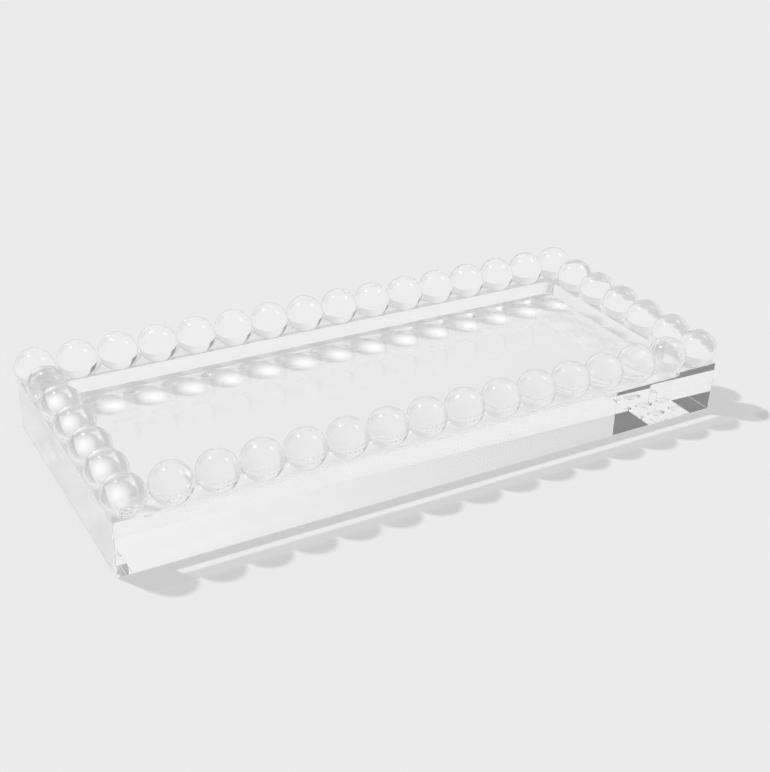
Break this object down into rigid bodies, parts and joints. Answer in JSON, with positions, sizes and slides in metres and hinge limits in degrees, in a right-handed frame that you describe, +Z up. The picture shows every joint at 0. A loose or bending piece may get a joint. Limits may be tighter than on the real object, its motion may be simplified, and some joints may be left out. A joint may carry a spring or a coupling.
{
  "type": "vanity tray",
  "caption": "Rectangular clear glass dresser tray: a thick block with a shallow well for bottles, edged all round with clear glass balls.",
  "frame": {"origin": "middle of the block's underside, on the surface that the tray stands on", "axes": "+X along the tray's length, +Y across it towards the back long side, +Z up out of the well"},
  "size_m": [0.3042, 0.1324, 0.0405],
  "materials": {
    "block_glass": "polished clear, colourless",
    "ball_glass": "polished clear, colourless"
  },
  "bodies": {
    "root": {"tray_block": "block_glass", "ball_front_01": "ball_glass", "ball_front_02": "ball_glass", "ball_front_03": "ball_glass", "ball_front_04": "ball_glass", "ball_front_05": "ball_glass", "ball_front_06": "ball_glass", "ball_front_07": "ball_glass", "ball_front_08": "ball_glass", "ball_front_09": "ball_glass", "ball_front_10": "ball_glass", "ball_front_11": "ball_glass", "ball_front_12": "ball_glass", "ball_front_13": "ball_glass", "ball_front_14": "ball_glass", "ball_front_15": "ball_glass", "ball_front_16": "ball_glass", "ball_back_01": "ball_glass", "ball_back_02": "ball_glass", "ball_back_03": "ball_glass", "ball_back_04": "ball_glass", "ball_back_05": "ball_glass", "ball_back_06": "ball_glass", "ball_back_07": "ball_glass", "ball_back_08": "ball_glass", "ball_back_09": "ball_glass", "ball_back_10": "ball_glass", "ball_back_11": "ball_glass", "ball_back_12": "ball_glass", "ball_back_13": "ball_glass", "ball_back_14": "ball_glass", "ball_back_15": "ball_glass", "ball_back_16": "ball_glass", "ball_left_1": "ball_glass", "ball_left_2": "ball_glass", "ball_left_3": "ball_glass", "ball_left_4": "ball_glass", "ball_left_5": "ball_glass", "ball_right_1": "ball_glass", "ball_right_2": "ball_glass", "ball_right_3": "ball_glass", "ball_right_4": "ball_glass", "ball_right_5": "ball_glass"}
  },
  "joints": []
}
